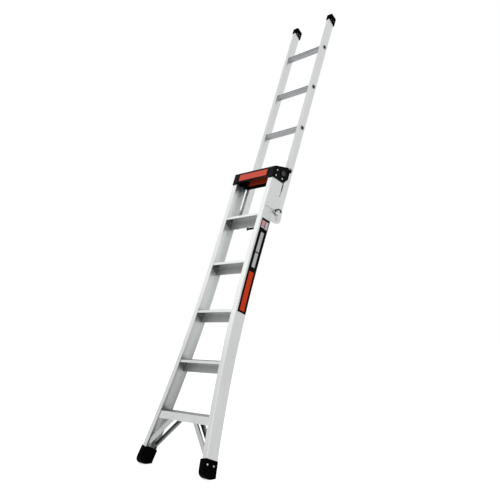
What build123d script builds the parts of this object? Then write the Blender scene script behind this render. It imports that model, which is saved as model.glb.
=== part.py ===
from build123d import *
import math
import os

os.makedirs("parts", exist_ok=True)

# Whole ladder
LEAN = 70.0  # degrees between the rails and the floor
PITCH = 304.8  # spacing of the steps and of the rungs
STEPS = 5
RUNGS = 5
GAP = 0.4  # clearance between fixed pieces that sit inside one another
TOUCH = 0.05  # clearance between pieces that lie flat on one another
RUN = 0.08  # radial clearance of a running fit
FIT = 0.2  # radial clearance of rivets and screws in their holes
SPARE = 0.3  # clearance between faces that turn past one another

# Fasteners
RIVET_R = 2.4
RIVET_HEAD_R = 5.0
SMALL_RIVET_R = 2.0
SMALL_RIVET_HEAD_R = 4.0
SCREW_R = 2.5
SCREW_HEAD_R = 5.0
SCREW_HEAD = 3.0
SCREW_ROUND = 1.6
SCREW_SLOT = 1.4

# Front rails, channels open to the middle
DEPTH = 78.0
FLANGE = 36.0
WEB = 2.6
LEG = 3.0
CORNER = 3.0
HALF = 180.2  # middle of the ladder to the outer face at the top
FLARE_START = 1285.0  # height where the rails begin to bend outward
FLARE_R = 6100.0
RAIL_FOOT = 32.0
HEAD_LOW = 231.0  # the head starts this far above the top step
HEAD_TOP = 302.0  # front edge of the head's top, above the top step
COVER = 8.0

# Steps
SHEET = 2.5
LIP = 14.5
SKIRT = 50.5
BOTTOM_SKIRT = 43.0  # front of the bottom step
BOTTOM_BACK = 20.0  # rear skirt of the bottom step
RIB_HIGH = 1.5
RIB_WIDE = 4.0
RIB_SPACING = 9.0
RIB_INSET = 6.0
RIVET_DOWN = 10.0
RIVET_IN = 17.0

# Boots
BOOT_WALL = 3.5  # in front of the rail and behind it
BOOT_OUT = 2.5  # outside the rail
BOOT_IN = 12.0  # past the rail's flanges
BOOT_HIGH = 99.0
BOOT_DROP = 60.0
BOOT_SPLAY = 4.0  # degrees that the front face swells towards the toe
BOOT_TOE = 40.0
BOOT_HEEL = 12.0
BOOT_CORNER = 8.0
BOOT_INNER_CORNER = 18.0
BOOT_OUTER_CORNER = 18.0
BOOT_RIVET_UP = 70.0
BOOT_RIVET_APART = 44.0
BOOT_RIVET_FORE = 8.5  # in front of the rail's middle
BOOT_RIVET_BITE = 12.0  # past the rail's web

# Knee braces under the bottom step
BRACE_WIDE = 24.0
BRACE_THICK = 2.5
BRACE_LIP = 12.0  # depth of the turned edges
BRACE_SHORT = 9.0  # the edges stop this far from the rivets
BRACE_TOP_ACROSS = 98.0
BRACE_TOP_UP = 16.0  # above the skirt's lower edge
BRACE_BACK_RAISE = 19.0  # the rear brace's top, up and in from the front brace's
BRACE_FOOT_UP = 109.0
BRACE_FOOT_IN = 24.0  # in from the rail's outer face
BRACE_SPACER_R = 6.0

# Rear section, which swings on the front one
REAR_GAP = 26.6  # between the backs of the front rails and the rear rails
REAR_DEPTH = 46.5
REAR_FLANGE = 26.5
REAR_WALL = 2.4
REAR_CORNER = 3.0
REAR_INSET = 9.2  # outer faces of the rear rails, in from those of the front rails
CLOSED_GAP = 3.0
PIVOT_RISE = 8.0
RAIL_END = 16.0  # of the rear rails, below the pivot
REAR_REACH = 1515.0  # tip of the rear feet above the top step
REAR_SOLE = 20.0  # degrees off square
FOOT_WALL = 4.5  # beside the rail
FOOT_FRONT = 2.0
FOOT_BACK = 5.5
FOOT_HIGH = 48.0
FOOT_SOLE_THICK = 17.0
FOOT_ROUND = 11.0
FOOT_CORNER = 1.5
FOOT_BACK_DROP = 27.0  # the rear edge reaches lower than the front
FOOT_RIVET_DOWN = 12.0
FOOT_RIVET_APART = 20.0

# Rungs
RUNG_RISE = 35.5  # lowest rung above the top step
RUNG_HIGH = 32.0
RUNG_DEEP = 28.0
RUNG_WALL = 2.2
RUNG_PLUG = 10.0  # solid length at each end of a rung
RUNG_ROUND = 5.0
RUNG_NECK = 11.0
RUNG_FIT = 0.1
RUNG_BORE = 9.0
RING_R = 15.5
RING_THICK = 1.5
GROOVE = 1.6
GROOVE_WIDE = 4.5
GROOVE_OUT = 7.5

# Hinge plates and pivots
PLATE = 4.0
PLATE_LOW = 46.0
PLATE_FRONT = 4.0
PLATE_BACK = 10.0  # behind the front rail
PLATE_KNEE = 60.0
LOBE_R = 31.0
LOBE_FRONT = 70.0
LOBE_CORNER = 10.0
LOBE_TAPER = 2.0
LOBE_SHOULDER = 37.0  # above the pivot
LOBE_SLOPE = 136.0  # above the pivot
PLATE_RIVET_UP = 22.0
PLATE_RIVET_IN = 18.0
PLATE_RIVET_WIDE = 36.0
PLATE_RIVET_HIGH = 70.0
PIVOT_R = 6.0
PIVOT_HEAD_R = 10.5
PIVOT_HEAD = 5.0
PIVOT_WASHER_R = 14.0
WASHER = 2.0
NUT_R = 8.4
NUT_THICK = 7.0
BOLT_PROUD = 0.7
SPACER_WALL = 6.0
BOLT_ROUND = 2.5

# Locks on the hinge plates
LOCK_DISC = 4.0
DISC_EDGE = 2.0  # left outside the lock holes
LOCK_BACK = -6.0  # of the pivot
LOCK_UP = 20.0
LOCK_R = 4.0
LOCK_STROKE = 8.0
LOCK_ENTRY = 3.0
LOCK_ROOM = 0.35
LOCK_STOP = 1.0  # left between bar and plate when engaged
DISC_RIVET_OUT = 20.0
DISC_RIVET_TURNS = (10.0, -32.0)  # degrees
STAND_FOLD = 140.0
PULL_FORE = 10.0  # in front of the lock pin
PULL_RISE = 15.3  # above the lock pin
PULL_HALF = 26.0
PULL_HIGH = 17.0
PULL_BAND = 6.5
PULL_LEG = 4.0
PULL_THICK = 7.0
PULL_ROUND = 2.0
BAR_THICK = 3.0
BAR_FOOT = 8.0
BAR_LOW = 4.5  # below the lock pin
GUIDE_R = 8.0
GUIDE_GAP = 2.0

# Rest blocks that the rear rails lean on
BLOCK_LOW = 182.0
BLOCK_HIGH = 46.0
BLOCK_WIDE = 12.0
BLOCK_OUT = 0.6
BLOCK_DEEP = 22.0
BLOCK_BEVEL = 10.0
BLOCK_SCREW_ACROSS = 8.0  # from the rail's outer face
BLOCK_SCREW_IN = 11.0
BLOCK_SCREW_BITE = 10.0

# Head: two end brackets and a pad that turns between them
HEAD_OUT = 6.0  # in front of the rails
CHEEK = 5.0
BRACKET_LIP = 3.2  # the bracket reaches this far past the rail's flange
BRACKET_BACK = 36.0
BRACKET_NOSE = 6.0
BRACKET_FALL = 12.0
BRACKET_TURN = 36.0
BRACKET_RISE = 35.0
COVER_BACK = 5.0  # behind the hinge plate
HEAD_SCREW_IN = 16.0
HEAD_SCREW_UP = 16.0
HEAD_SCREW_APART = 36.0
HEAD_SCREW_BACK = 68.0
HEAD_SCREW_BACK_UP = 18.0
HEAD_SCREW_BITE = 6.0
KNOB_R = 11.0
KNOB_OUT = 5.0
KNOB_IN = 4.0
KNOB_DOWN = 18.0
BOSS_WALL = 3.0
BOSS_ROOM = 3.0
BOSS_OUT = 2.5
HEAD_ROUND = 2.0
HEAD_EDGE = 12.0
PAD_SIDE = 2.4  # between the pad's ends and the brackets
PAD_WALL = 5.0
PAD_BACK = 88.0
PAD_FRONT_LOW = 238.0
PAD_BACK_LOW = 233.0
PAD_END = 6.0
PAD_END_DOWN = 22.0
PAD_PIN_IN = 4.0
PAD_HOLE_ROOM = 0.5
PAD_PIVOT_DEEP = 66.0
PAD_PIVOT_UP = 284.0
PAD_PIN_R = 7.0
PAD_HEAD_R = 16.0
PAD_HEAD = 5.0
DISH_RIM = 4.0
DISH_WIDE = 5.0
DISH_DEEP = 1.5
BAND_INSET = 13.0
BAND_LOW = 247.0
BAND_HIGH = 41.0
BAND_THICK = 2.5
LINER_EDGE = 22.0

# Storage catch behind the top step
CATCH_FROM = -22.0  # across
CATCH_TO = 75.0
CATCH_FINGER = 30.0
CATCH_DEEP = 6.0  # pin behind the front rails
CATCH_DOWN = 54.5
CATCH_PIN_R = 2.2
CATCH_HUB_R = 6.5
CATCH_REACH = 43.0
CATCH_TIP = 8.5
CATCH_TIP_THICK = 5.0
EAR = 3.0
EAR_LOW = 1.5
EAR_RISE = 8.0
CATCH_PLATE_LOW = 6.5  # above the skirt's lower edge
CATCH_PLATE_UP = 29.5
CATCH_RIVET_UP = 19.5
CATCH_RIVET_IN = 12.0
CATCH_HEAD = 1.5
CATCH_HEAD_WIDE = 1.8
CATCH_WAIST = 20.0
CATCH_BELLY = 1.0

# Plain strip on the right rail
STRIP_TOP = 32.0  # below the top step
STRIP_LONG = 584.0
STRIP_WIDE = 62.0
STRIP_BACK = 4.9  # behind the rail's middle
STRIP_THICK = 0.5

# Worked out from the sizes above
SLOPE = 1.0 / math.tan(math.radians(LEAN))
TOP_STEP = PITCH * STEPS
REAR_HALF = HALF - REAR_INSET
BRACKET_INSIDE = HALF - FLANGE - BRACKET_LIP
PAD_HALF = BRACKET_INSIDE - PAD_SIDE
BAND_HALF = PAD_HALF - BAND_INSET
REAR_FRONT = DEPTH + REAR_GAP
REAR_BACK = REAR_FRONT + REAR_DEPTH
REAR_MID = REAR_FRONT + REAR_DEPTH / 2
PIVOT_BACK = (REAR_GAP + REAR_DEPTH + CLOSED_GAP) / 2
PIVOT_DEEP = DEPTH + PIVOT_BACK
PIVOT_UP = TOP_STEP + PIVOT_RISE
END_R = REAR_BACK - PIVOT_DEEP
PLATE_IN = HALF + FIT
PLATE_OUT = PLATE_IN + PLATE
CHEEK_IN = PLATE_OUT + SPARE
CHEEK_OUT = CHEEK_IN + CHEEK
DISC_IN = REAR_HALF + TOUCH
DISC_OUT = DISC_IN + LOCK_DISC
DISC_R = math.hypot(LOCK_BACK, LOCK_UP) + LOCK_R + LOCK_ROOM + DISC_EDGE
LOCK_DEEP = PIVOT_DEEP + LOCK_BACK
LOCK_Z = PIVOT_UP + LOCK_UP
PAD_Z = TOP_STEP + PAD_PIVOT_UP
STEP_FRONT = LEG + GAP
STEP_BACK = DEPTH - LEG - GAP
STEP_GRIP = WEB + GAP + SHEET
BOOT_GRIP = BOOT_OUT + WEB + BOOT_RIVET_BITE
BRACE_GRIP = SHEET + BRACE_THICK + 2 * TOUCH
CATCH_GRIP = EAR + SHEET + 2 * TOUCH
RIVET_HOLE = RIVET_R + FIT
SMALL_RIVET_HOLE = SMALL_RIVET_R + FIT
SCREW_HOLE = SCREW_R + FIT
INNER = HALF / 2  # drills run from here
OUTER = 2 * HALF  # to here
RAIL_HIGH = TOP_STEP + HEAD_TOP + (DEPTH + HEAD_OUT) * SLOPE
REAR_TIP = TOP_STEP + REAR_REACH
FOOT_FALL = (REAR_DEPTH + FOOT_FRONT + FOOT_BACK) * math.tan(math.radians(REAR_SOLE))
REAR_RAIL_TOP = REAR_TIP - FOOT_FALL - FOOT_SOLE_THICK
SWELL = math.tan(math.radians(BOOT_SPLAY))
TOE = -(BOOT_WALL + (BOOT_HIGH + DEPTH / 2 * SLOPE) * SWELL) / (1 - SLOPE * SWELL)
TOE_CUT = BOOT_TOE / math.tan(math.radians((LEAN - BOOT_SPLAY) / 2)) - BOOT_TOE
STAND_FRONT = (TOE - DEPTH / 2) / math.sin(math.radians(LEAN)) + TOE_CUT
TIP_BACK = (REAR_BACK + FOOT_BACK - DEPTH / 2) * math.sin(math.radians(LEAN))
STAND_BACK = TIP_BACK + (REAR_TIP - FOOT_FALL) * math.cos(math.radians(LEAN))
MIDDLE = (STAND_FRONT + STAND_BACK) / 2
CATCH_Y = DEPTH + CATCH_DEEP
CATCH_Z = TOP_STEP - CATCH_DOWN


def side(points, near, far):
    """Plate drawn in depth and height, between two places across the ladder."""
    face = make_face(Polyline(points, close=True))
    return extrude(Plane.YZ.offset(near) * face, far - near)


def front(face, near, far):
    """Plate drawn across and in height, between two depths."""
    return extrude(Plane.XZ.offset(-near) * face, near - far)


def rod(deep, up, radius, near, far):
    """Round bar across the ladder."""
    return extrude(Plane.YZ.offset(near) * (Pos(deep, up) * Circle(radius)), far - near)


def head_top(deep):
    """Height of the head's top, which is level when the ladder leans as shown."""
    return TOP_STEP + HEAD_TOP + (deep + HEAD_OUT) * SLOPE


def bend(height):
    """Angle of the front rail at a height, 0 where it is straight."""
    return math.asin(max(FLARE_START - height, 0.0) / FLARE_R)


def rail_point(inset, height):
    """Point on the right rail at an inset from its outer face."""
    if height >= FLARE_START:
        return (HALF - inset, height)
    radius = FLARE_R + inset
    across = HALF + FLARE_R - radius * math.cos(bend(height))
    return (across, FLARE_START - radius * math.sin(bend(height)))


def rail_edge(inset, low, high):
    """Line along the right rail between two heights, from the top down."""
    if low >= FLARE_START:
        return Line(rail_point(inset, high), rail_point(inset, low))
    start = min(high, FLARE_START)
    points = [rail_point(inset, height) for height in (start, (start + low) / 2, low)]
    if high <= FLARE_START:
        return ThreePointArc(*points)
    return Line(rail_point(inset, high), points[0]) + ThreePointArc(*points)


def band(outer, inner, low, high):
    """Strip along the right rail between two insets."""
    ends = [Line(rail_point(outer, height), rail_point(inner, height)) for height in (low, high)]
    return make_face(rail_edge(outer, low, high) + rail_edge(inner, low, high) + ends)


def on_web(height, deep):
    """Place on the right rail's outer face, with its Z axis pointing out."""
    angle = bend(height)
    across = HALF + FLARE_R * (1 - math.cos(angle))
    out = (math.cos(angle), 0, math.sin(angle))
    return Plane((across, deep, height), x_dir=(0, 1, 0), z_dir=out).location


def rivet(radius, head, length, tailed=True):
    """Rivet standing on its Z axis, with the head above and the tail below zero."""
    dome = Pos(0, 0, TOUCH) * extrude(Circle(head), head * 0.4)
    dome = fillet(dome.edges().group_by(Axis.Z)[-1], head * 0.35)
    tail = Pos(0, 0, -length - head * 0.3) * extrude(Circle(radius * 1.4), head * 0.3)
    pin = dome + Pos(0, 0, -length) * extrude(Circle(radius), length + head * 0.2)
    return pin + tail if tailed else pin


def both(shape):
    """The right-hand piece and its mirror image."""
    return {"right": shape, "left": mirror(shape, Plane.YZ)}


def pair(shapes):
    """Pieces of the right side and their mirror images as one group."""
    return Compound(shapes + [mirror(shape, Plane.YZ) for shape in shapes])


def save(name, shape):
    """Lean the piece, with the origin on the floor under the middle of the ladder, and write it."""
    stood = Pos(0, -MIDDLE, 0) * (Rot(LEAN - 90, 0, 0) * (Pos(0, -DEPTH / 2, 0) * shape))
    export_step(stood, f"parts/{name}.step")


def channel(half, deep, depth, flange, web, leg, corner, spare=0.0):
    """Section of a right-hand channel seen along the rail."""
    tip = half - flange - spare
    wall = half - web - spare
    face = make_face(
        Polyline(
            (half + spare, deep - spare),
            (half + spare, deep + depth + spare),
            (tip, deep + depth + spare),
            (tip, deep + depth - leg - spare),
            (wall, deep + depth - leg - spare),
            (wall, deep + leg + spare),
            (tip, deep + leg + spare),
            (tip, deep - spare),
            close=True,
        )
    )
    outer = face.vertices().group_by(Axis.X)[-1]
    return fillet(outer, corner)


def bent_channel(low, high, spare=0.0):
    """Front rail profile carried along the bend."""
    section = channel(HALF, 0, DEPTH, FLANGE, WEB, LEG, CORNER, spare)
    path = Plane.XZ * rail_edge(0, low, high)
    return sweep(Plane.XY.offset(high) * section, path=path)


def step_rivets(height):
    """Places of the two rivets at one end of a step."""
    return [on_web(height - RIVET_DOWN, deep) for deep in (RIVET_IN, DEPTH - RIVET_IN)]


def step_heights():
    """Tread heights at the front edge, from the bottom up."""
    return [PITCH * (number + 1) for number in range(STEPS)]


def boot_rivets():
    """Places of the two rivets on a boot, on its outer wall."""
    low = rail_point(-BOOT_OUT, -BOOT_DROP)
    high = rail_point(-BOOT_OUT, BOOT_HIGH)
    share = (BOOT_RIVET_UP - low[1]) / (high[1] - low[1])
    across = low[0] + share * (high[0] - low[0])
    out = (high[1] - low[1], 0, low[0] - high[0])
    places = []
    for way in (-0.5, 0.5):
        spot = (across, DEPTH / 2 - BOOT_RIVET_FORE + way * BOOT_RIVET_APART, BOOT_RIVET_UP)
        places.append(Plane(spot, x_dir=(0, 1, 0), z_dir=out).location)
    return places


def head_screws():
    """Depth and height of the screws through bracket, plate and rail."""
    low = TOP_STEP + HEAD_LOW
    first = low + HEAD_SCREW_UP
    fore = [(HEAD_SCREW_IN, first), (HEAD_SCREW_IN, first + HEAD_SCREW_APART)]
    return fore + [(HEAD_SCREW_BACK, low + HEAD_SCREW_BACK_UP)]


def plate_rivets():
    """Depth and height of the rivets that hold a hinge plate to its rail."""
    low = TOP_STEP + PLATE_LOW + PLATE_RIVET_UP
    spots = []
    for up in (low, low + PLATE_RIVET_HIGH):
        spots += [(PLATE_RIVET_IN, up), (PLATE_RIVET_IN + PLATE_RIVET_WIDE, up)]
    return spots


def front_rail():
    """Right front rail with its rivet and pin holes."""
    rail = bent_channel(RAIL_FOOT, RAIL_HIGH)
    room = COVER + GAP
    fore = -DEPTH
    back = 2 * DEPTH
    high = 2 * RAIL_HIGH
    cut = [(fore, head_top(fore) - room), (back, head_top(back) - room), (back, high), (fore, high)]
    rail -= side(cut, 0, OUTER)
    drills = []
    for height in step_heights():
        for place in step_rivets(height):
            drills.append(place * Cylinder(RIVET_HOLE, 4 * STEP_GRIP))
    for place in boot_rivets():
        drills.append(place * Cylinder(RIVET_HOLE, 4 * BOOT_GRIP))
    for deep, up in head_screws():
        drills.append(rod(deep, up, SCREW_HOLE, INNER, OUTER))
    for deep, up in plate_rivets():
        drills.append(rod(deep, up, RIVET_HOLE, INNER, OUTER))
    drills.append(rod(PAD_PIVOT_DEEP, PAD_Z, PAD_PIN_R + PAD_HOLE_ROOM, INNER, OUTER))
    for place in brace_ends():
        drills.append(place * Cylinder(RIVET_HOLE, 4 * BRACE_GRIP))
    for place in block_screws():
        drills.append(place * Cylinder(SCREW_HOLE, 4 * LEG))
    return rail - drills


def tread_line(height, deep):
    """Height of a level tread at a depth."""
    return height + (deep - STEP_FRONT) * SLOPE


def step(height, lip, skirt):
    """One step: ribbed tread, front lip, rear skirt and an ear at each end."""
    under = SHEET / math.sin(math.radians(LEAN))
    outline = [(STEP_FRONT, height - lip), (STEP_FRONT, height)]
    ribs = int((STEP_BACK - STEP_FRONT - RIB_INSET) / RIB_SPACING)
    for number in range(ribs):
        deep = STEP_FRONT + RIB_INSET + number * RIB_SPACING
        outline.append((deep, tread_line(height, deep)))
        outline.append((deep + RIB_WIDE * 0.2, tread_line(height, deep) + RIB_HIGH))
        outline.append((deep + RIB_WIDE * 0.8, tread_line(height, deep + RIB_WIDE * 0.6) + RIB_HIGH))
        outline.append((deep + RIB_WIDE, tread_line(height, deep + RIB_WIDE)))
    outline.append((STEP_BACK, tread_line(height, STEP_BACK)))
    outline.append((STEP_BACK, height - skirt))
    outline.append((STEP_BACK - SHEET, height - skirt))
    outline.append((STEP_BACK - SHEET, tread_line(height, STEP_BACK - SHEET) - under))
    outline.append((STEP_FRONT + SHEET, tread_line(height, STEP_FRONT + SHEET) - under))
    outline.append((STEP_FRONT + SHEET, height - lip))
    wide = HALF + FLARE_R * (1 - math.cos(bend(height - SKIRT))) + FLANGE
    bar = side(outline, -wide, wide)
    end = [
        (STEP_FRONT, height - lip),
        (STEP_FRONT, height),
        (STEP_BACK, tread_line(height, STEP_BACK)),
        (STEP_BACK, height - skirt),
    ]
    inset = WEB + GAP
    low = height - 3 * SKIRT
    high = height + 3 * SKIRT
    ear = front(band(inset, inset + SHEET, low, high), 0, DEPTH) & side(end, 0, wide)
    waste = front(band(-3 * FLANGE, inset, low, high), -DEPTH, 2 * DEPTH)
    body = bar - waste - mirror(waste, Plane.YZ)
    body += [ear, mirror(ear, Plane.YZ)]
    drills = [place * Cylinder(RIVET_HOLE, 4 * STEP_GRIP) for place in step_rivets(height)]
    body = body - drills - [mirror(drill, Plane.YZ) for drill in drills]
    if height == PITCH:
        holes = [place * Cylinder(RIVET_HOLE, 3 * BRACE_GRIP) for place in brace_tops()]
        body = body - holes - [mirror(hole, Plane.YZ) for hole in holes]
    if height == TOP_STEP:
        body -= [place * Cylinder(RIVET_HOLE, 3 * CATCH_GRIP) for place in catch_rivets()]
    return body


def boot():
    """Right rubber boot, flat on the floor behind a round toe, and plugged into the channel."""
    low = rail_point(-BOOT_OUT, -BOOT_DROP)
    high = rail_point(-BOOT_OUT, BOOT_HIGH)
    heel = DEPTH + BOOT_WALL
    wide = BOOT_OUT + FLANGE + BOOT_IN
    plan = make_face(Polyline((TOE, 0), (heel, 0), (heel, -wide), (TOE, -wide), close=True))
    plan = fillet(plan.vertices().group_by(Axis.X)[-1], BOOT_CORNER)
    plan = fillet(plan.vertices().group_by(Axis.X)[0].sort_by(Axis.Y)[0], BOOT_INNER_CORNER)
    plan = fillet(plan.vertices().group_by(Axis.X)[0].sort_by(Axis.Y)[-1], BOOT_OUTER_CORNER)
    down = (low[0] - high[0], 0, low[1] - high[1])
    block = extrude(Plane((high[0], 0, high[1]), x_dir=(0, 1, 0), z_dir=down) * plan, math.dist(low, high))
    outline = [
        (BOOT_HIGH * SWELL - BOOT_WALL, 2 * BOOT_HIGH),
        (TOE, (TOE - DEPTH / 2) * SLOPE),
        (heel, (heel - DEPTH / 2) * SLOPE),
        (heel, 2 * BOOT_HIGH),
    ]
    profile = make_face(Polyline(outline, close=True))
    profile = fillet(profile.vertices().sort_by(Axis.Y)[1], BOOT_HEEL)
    profile = fillet(profile.vertices().sort_by(Axis.Y)[0], BOOT_TOE)
    block = block & extrude(Plane.YZ * profile, 3 * OUTER)
    block -= bent_channel(RAIL_FOOT - GAP, RAIL_HIGH, GAP)
    drills = [place * Cylinder(RIVET_HOLE, 4 * BOOT_GRIP) for place in boot_rivets()]
    return block - drills


def brace_line(raised):
    """Ends of a right knee brace's middle line, across and in height."""
    foot = HALF + FLARE_R * (1 - math.cos(bend(BRACE_FOOT_UP))) - BRACE_FOOT_IN
    top = PITCH - BOTTOM_SKIRT + BRACE_TOP_UP
    return (BRACE_TOP_ACROSS - raised, top + raised), (foot, BRACE_FOOT_UP)


def brace(way, raised):
    """Right brace: a strip with turned edges, which lies on the front (1) or the rear (-1) skirt."""
    top, foot = brace_line(raised)
    long = math.dist(top, foot)
    turn = math.degrees(math.atan2(foot[1] - top[1], foot[0] - top[0]))
    middle = Pos((top[0] + foot[0]) / 2, (top[1] + foot[1]) / 2) * Rot(0, 0, turn)
    near = STEP_FRONT + SHEET + TOUCH
    if way < 0:
        near = DEPTH - near
    strip = front(middle * SlotCenterToCenter(long, BRACE_WIDE), near, near + way * BRACE_THICK)
    for out in (-1, 1):
        edge = Pos(0, out * (BRACE_WIDE - BRACE_THICK) / 2) * Rectangle(long - 2 * BRACE_SHORT, BRACE_THICK)
        strip += front(middle * edge, near, near + way * BRACE_LIP)
    return strip - [place * Cylinder(RIVET_HOLE, 4 * BRACE_GRIP) for place in brace_tops() + brace_ends()]


def brace_tops():
    """Places of the rivets that hold the braces to the bottom step."""
    top = brace_line(0)[0]
    fore = Plane((top[0], STEP_FRONT, top[1]), z_dir=(0, -1, 0)).location
    top = brace_line(BRACE_BACK_RAISE)[0]
    back = Plane((top[0], STEP_BACK, top[1]), z_dir=(0, 1, 0)).location
    return [fore, back]


def brace_ends():
    """Places of the rivets that hold the braces to the rail flanges."""
    foot = brace_line(0)[1]
    fore = Plane((foot[0], 0, foot[1]), z_dir=(0, -1, 0)).location
    back = Plane((foot[0], DEPTH, foot[1]), z_dir=(0, 1, 0)).location
    return [fore, back]


def brace_rivets():
    """Rivets of the right braces, with a spacer where the flange lies further out."""
    pins = [place * rivet(RIVET_R, RIVET_HEAD_R, BRACE_GRIP) for place in brace_tops()]
    reach = STEP_FRONT + SHEET + BRACE_THICK + 2 * TOUCH
    near = LEG + TOUCH
    far = STEP_FRONT + SHEET
    for place in brace_ends():
        spacer = Pos(0, 0, -far) * extrude(Circle(BRACE_SPACER_R), far - near)
        pins.append(place * (rivet(RIVET_R, RIVET_HEAD_R, reach) + spacer))
    return pins


def hinge_plate():
    """Right hinge plate on the outside of the front rail, with the pivot lobe."""
    low = TOP_STEP + PLATE_LOW
    back = DEPTH + PLATE_BACK
    outline = [
        (PLATE_FRONT, head_top(PLATE_FRONT) - COVER - 2 * GAP),
        (PLATE_FRONT, low),
        (PLATE_KNEE, low),
        (LOBE_FRONT, PIVOT_UP - LOBE_R),
        (PIVOT_DEEP, PIVOT_UP - LOBE_R),
        (PIVOT_DEEP + LOBE_R, PIVOT_UP),
        (PIVOT_DEEP + LOBE_R - LOBE_TAPER, PIVOT_UP + LOBE_SHOULDER),
        (back, PIVOT_UP + LOBE_SLOPE),
        (back, head_top(back) - COVER - 2 * GAP),
    ]
    plate = side(outline, PLATE_IN, PLATE_OUT)
    lowest = plate.edges().filter_by(Axis.X).group_by(Axis.Z)[0]
    plate = fillet(lowest.sort_by(Axis.Y)[0], LOBE_CORNER)
    plate += rod(PIVOT_DEEP, PIVOT_UP, LOBE_R, PLATE_IN, PLATE_OUT)
    holes = [rod(PIVOT_DEEP, PIVOT_UP, PIVOT_R + RUN, INNER, OUTER)]
    holes.append(rod(LOCK_DEEP, LOCK_Z, LOCK_R + RUN, INNER, OUTER))
    holes.append(rod(PAD_PIVOT_DEEP, PAD_Z, PAD_PIN_R + PAD_HOLE_ROOM, INNER, OUTER))
    for deep, up in head_screws():
        holes.append(rod(deep, up, SCREW_HOLE, INNER, OUTER))
    for deep, up in plate_rivets():
        holes.append(rod(deep, up, RIVET_HOLE, INNER, OUTER))
    return plate - holes


def plate_rivet_set():
    """Rivets through the right hinge plate and the rail."""
    pins = []
    for deep, up in plate_rivets():
        place = Plane((PLATE_OUT, deep, up), x_dir=(0, 1, 0), z_dir=(1, 0, 0)).location
        pins.append(place * rivet(RIVET_R, RIVET_HEAD_R, PLATE_OUT - HALF + WEB + TOUCH))
    return pins


def pivot_bolt():
    """Right pivot bolt, headed outside the plate."""
    start = REAR_HALF - REAR_FLANGE - SPARE - NUT_THICK - BOLT_PROUD
    seat = PLATE_OUT + WASHER + 2 * TOUCH
    bolt = rod(PIVOT_DEEP, PIVOT_UP, PIVOT_R, start, seat)
    head = rod(PIVOT_DEEP, PIVOT_UP, PIVOT_HEAD_R, seat, seat + PIVOT_HEAD)
    return bolt + fillet(head.edges().group_by(Axis.X)[-1], BOLT_ROUND)


def pivot_washer():
    """Flat washer under the right pivot bolt's head."""
    ring = rod(PIVOT_DEEP, PIVOT_UP, PIVOT_WASHER_R, PLATE_OUT + TOUCH, PLATE_OUT + TOUCH + WASHER)
    return ring - rod(PIVOT_DEEP, PIVOT_UP, PIVOT_R + RUN, INNER, OUTER)


def pivot_spacer():
    """Bush that keeps the rear rail's disc off the hinge plate."""
    ring = rod(PIVOT_DEEP, PIVOT_UP, PIVOT_R + SPACER_WALL, DISC_OUT + SPARE, PLATE_IN - TOUCH)
    return ring - rod(PIVOT_DEEP, PIVOT_UP, PIVOT_R + RUN, INNER, OUTER)


def pivot_nut():
    """Nut on the right pivot bolt, on the inner side of the rear rail."""
    end = REAR_HALF - REAR_FLANGE - SPARE
    face = Pos(PIVOT_DEEP, PIVOT_UP) * (RegularPolygon(NUT_R, 6) - Circle(PIVOT_R + TOUCH))
    return extrude(Plane.YZ.offset(end - NUT_THICK) * face, NUT_THICK)


def rest_block():
    """Right buffer between the front rail and the rear rail, bevelled on its inner side."""
    outer = HALF - BLOCK_OUT
    inner = outer - BLOCK_WIDE
    fore = DEPTH + TOUCH
    back = DEPTH + BLOCK_DEEP
    plan = make_face(Polyline((inner, fore), (outer, fore), (outer, back), (inner, back - BLOCK_BEVEL), close=True))
    block = extrude(Plane.XY.offset(TOP_STEP + BLOCK_LOW) * plan, BLOCK_HIGH)
    long = 2 * (LEG + BLOCK_SCREW_BITE + GAP)
    return block - [place * Cylinder(SCREW_HOLE, long) for place in block_screws()]


def block_screws():
    """Places of the two screws from the rail's flange into the rest block."""
    across = HALF - BLOCK_SCREW_ACROSS
    places = []
    for up in (BLOCK_LOW + BLOCK_SCREW_IN, BLOCK_LOW + BLOCK_HIGH - BLOCK_SCREW_IN):
        places.append(Plane((across, DEPTH - LEG, TOP_STEP + up), z_dir=(0, -1, 0)).location)
    return places


def screw(length):
    """Pan-head screw standing on its Z axis, head above zero."""
    head = Pos(0, 0, TOUCH) * extrude(Circle(SCREW_HEAD_R), SCREW_HEAD)
    head = fillet(head.edges().group_by(Axis.Z)[-1], SCREW_ROUND)
    head -= Pos(0, 0, SCREW_HEAD) * Box(SCREW_SLOT, 1.1 * SCREW_HEAD_R, 0.8 * SCREW_HEAD)
    head -= Pos(0, 0, SCREW_HEAD) * Box(1.1 * SCREW_HEAD_R, SCREW_SLOT, 0.8 * SCREW_HEAD)
    return head + Pos(0, 0, -length) * extrude(Circle(SCREW_R), length + SCREW_HEAD * 0.2)


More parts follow.
